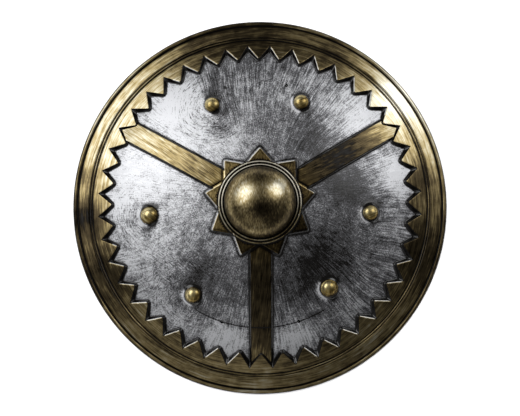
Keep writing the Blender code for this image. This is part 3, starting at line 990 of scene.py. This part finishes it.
def bare_plastic(paints):
    """Black moulded plastic behind: half gloss, with a faint grain from the mould."""
    material, tree, shader = new_material("bare_black_plastic")
    place = add(tree, "TexCoord", out="Object")
    # Mould grain 0.9 mm across and cloudy gloss 40 mm across
    grain = cloudy(tree, place, per_metre(0.9, 0.9, 0.9), 2.0)
    clouds = cloudy(tree, place, per_metre(40, 40, 40), 3.0)
    rough = weighed(tree, [(clouds, 0.5, 0.25), (grain, 0.5, 0.1)], 0.42)
    tree.links.new(rough, shader.inputs["Roughness"])
    tint = add(tree, "Mix", {0: clouds, 6: (*paints.black, 1), 7: (*paints.plastic, 1)},
               out=2, data_type="RGBA")
    tree.links.new(tint, shader.inputs["Base Color"])
    bump = add(tree, "Bump", {"Height": grain, "Distance": 0.02 * MM})
    tree.links.new(bump, shader.inputs["Normal"])
    return material


def pale_floor(stage):
    """Matt white studio floor, which throws no gleam on the rim."""
    material, _, shader = new_material("white_floor_card")
    shader.inputs["Base Color"].default_value = (*stage.floor, 1)
    shader.inputs["Roughness"].default_value = 0.9
    return material


def paint(name, description, text):
    return bpy.props.FloatVectorProperty(name=name, description=description, subtype="COLOR",
                                         default=colour(text)[:3], min=0, max=1)


def watts(name, description, default):
    return bpy.props.FloatProperty(name=name, description=description, default=default, min=0,
                                   unit="POWER")


class ShieldSizes(bpy.types.PropertyGroup):
    """Main sizes of the shell."""

    shield_radius: bpy.props.FloatProperty(
        name="Radius", description="Distance from the centre to the outside of the rim",
        default=SHELL_TOP.x, unit="LENGTH")
    boss_height: bpy.props.FloatProperty(
        name="Boss height", description="How far the dome of the boss stands above the star plate",
        default=43 * MM, unit="LENGTH")


class ShieldPaints(bpy.types.PropertyGroup):
    """Colours of the shell."""

    black: paint("Black", "Black plastic under the paint", "#0C0A08")
    plastic: paint("Plastic", "Bare plastic behind, where it is palest", "#1A1919")
    gold_thin: paint("Thin gold", "Gold paint where it is thin", "#4D4330")
    gold: paint("Gold", "Gold paint", "#94845D")
    gold_thick: paint("Thick gold", "Gold paint where it is thick", "#B3AC94")
    # Worn gold is also the colour of the painted highlights on edges and on the boss
    gold_worn_and_highlight: paint("Worn gold", "Gold paint on edges that the brush caught", "#ECE7D8")
    gold_glow: paint("Gold glow", "What makes the gold of the studs and the star warmer", "#FFF2C4")
    silver_thin: paint("Thin silver", "Silver paint where it is thin", "#6A6A6D")
    silver: paint("Silver", "Silver paint", "#E6E7EA")


class ShieldStage(bpy.types.PropertyGroup):
    """Floor and light round the shield."""

    floor: paint("Floor", "Studio floor", "#FAFAFA")
    floor_power: watts("Floor light", "Power of the light above that falls on the floor alone", 60)
    fill_power: watts("Fill light", "Power of the dim soft box on the side nearest the camera", 2.9)
    left_power: watts("Left light", "Power of the large soft box on the left", 22)
    right_power: watts("Right light", "Power of the smaller soft box on the right", 13.5)
    room_light: bpy.props.FloatProperty(
        name="Room light", description="Strength of the even light of the room",
        default=0.1, min=0, subtype="FACTOR")


class SHIELD_OT_mould_shell(bpy.types.Operator):
    """Mould the fine shell and paint it"""
    bl_idname = "shield.mould_shell"
    bl_label = "Mould shell"

    def execute(self, context):
        paints = context.scene.shield_paints
        materials = [antique_gold(paints), brushed_silver(paints), bare_plastic(paints)]
        piece = moulded_shell(context.scene.shield_sizes, materials)
        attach(piece, "root")
        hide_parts(SHELL_NODE)
        return {"FINISHED"}


def aimed(name, data, place, target):
    thing = linked(name, data)
    thing.location = place
    thing.rotation_euler = (target - place).to_track_quat("-Z", "Y").to_euler()
    return thing


def direction(azimuth, elevation):
    rise = math.radians(elevation)
    return polar(math.cos(rise), azimuth) + Vector((0, 0, math.sin(rise)))


class SHIELD_OT_set_stage(bpy.types.Operator):
    """Lay a pale floor, light it softly and set the camera above the shield"""
    bl_idname = "shield.set_stage"
    bl_label = "Set stage"

    def execute(self, context):
        scene = context.scene
        stage = scene.shield_stage
        scene.view_settings.view_transform = "Standard"
        bm = bmesh.new()
        bmesh.ops.create_grid(bm, x_segments=1, y_segments=1, size=FLOOR_REACH)
        floor = mesh_object("floor", bm, [pale_floor(stage)])
        world = bpy.data.worlds.new("studio")
        world.use_nodes = True
        background = world.node_tree.nodes["Background"]
        background.inputs["Color"].default_value = (1, 1, 1, 1)
        background.inputs["Strength"].default_value = stage.room_light
        scene.world = world
        # Name, bearing and height in degrees, width and height in metres, and power
        lights = (("left_box", 152, 44, (1.6, 1.3), stage.left_power),
                  ("right_box", 36, 40, (0.9, 1.3), stage.right_power),
                  ("fill_box", 250, 40, (1.6, 1.2), stage.fill_power),
                  ("floor_light", 90, 90, (2.0, 2.0), stage.floor_power))
        for name, azimuth, elevation, (width, height), power in lights:
            data = bpy.data.lights.new(name, "AREA")
            data.shape = "RECTANGLE"
            data.size = width
            data.size_y = height
            data.energy = power
            place = direction(azimuth, elevation) * LIGHT_DISTANCE
            lamp = aimed(name, data, place, Vector((0, 0, 0)))
            if name == "floor_light":
                floor_only = bpy.data.collections.new("floor_only")
                floor_only.objects.link(floor)
                lamp.light_linking.receiver_collection = floor_only
        camera_data = bpy.data.cameras.new("studio_camera")
        camera_data.lens = CAMERA_LENS
        camera_data.clip_end = 20
        target = Vector(CAMERA_AIM)
        place = target + direction(*CAMERA_ANGLES) * CAMERA_DISTANCE
        scene.camera = aimed("studio_camera", camera_data, place, target)
        return {"FINISHED"}


class SHIELD_PT_finish(bpy.types.Panel):
    """Sizes, paints and steps of the shield"""
    bl_idname = "SHIELD_PT_finish"
    bl_label = "Shield"
    bl_space_type = "VIEW_3D"
    bl_region_type = "UI"
    bl_category = "Shield"

    def draw(self, context):
        scene = context.scene
        for group in (getattr(scene, name) for name in GROUPS):
            box = self.layout.box()
            for name in group.bl_rna.properties.keys():
                if name not in ("rna_type", "name"):
                    box.prop(group, name)
        for step in (SHIELD_OT_mould_shell, SHIELD_OT_set_stage):
            self.layout.operator(step.bl_idname)


GROUPS = {"shield_sizes": ShieldSizes, "shield_paints": ShieldPaints, "shield_stage": ShieldStage}
CLASSES = (*GROUPS.values(), SHIELD_OT_mould_shell, SHIELD_OT_set_stage, SHIELD_PT_finish)


def register():
    for kind in CLASSES:
        bpy.utils.register_class(kind)
    for name, group in GROUPS.items():
        setattr(bpy.types.Scene, name, bpy.props.PointerProperty(type=group))


def unregister():
    for name in GROUPS:
        delattr(bpy.types.Scene, name)
    for kind in reversed(CLASSES):
        bpy.utils.unregister_class(kind)


def main():
    register()
    bpy.ops.shield.mould_shell()
    bpy.ops.shield.set_stage()


if __name__ == "__main__":
    main()
